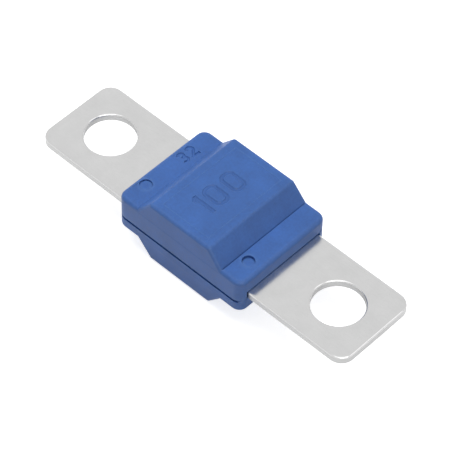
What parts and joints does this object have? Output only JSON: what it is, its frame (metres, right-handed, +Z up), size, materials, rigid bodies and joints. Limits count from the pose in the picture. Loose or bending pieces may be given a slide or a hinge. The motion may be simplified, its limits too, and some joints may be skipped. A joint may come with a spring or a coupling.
{
  "type": "bolt-down strip fuse",
  "caption": "Flat strip fuse with a round stud hole in each terminal, the link held in a pinned two-part moulded housing.",
  "frame": {"origin": "middle of the strip's thickness, halfway between the centres of its two stud holes", "axes": "+X along the strip from one stud hole to the other, +Y across the strip, +Z up out of the upper housing half"},
  "size_m": [0.04, 0.012, 0.008],
  "materials": {
    "housing_blue": "satin moulded glass-filled plastic",
    "tinned_strip": "matt tin plating on a stamped copper alloy strip",
    "pellet_tin": "dull cast tin"
  },
  "bodies": {
    "root": {"upper_housing_half": "housing_blue", "lower_housing_half": "housing_blue", "fuse_strip": "tinned_strip", "link_pellet": "pellet_tin"}
  },
  "joints": []
}
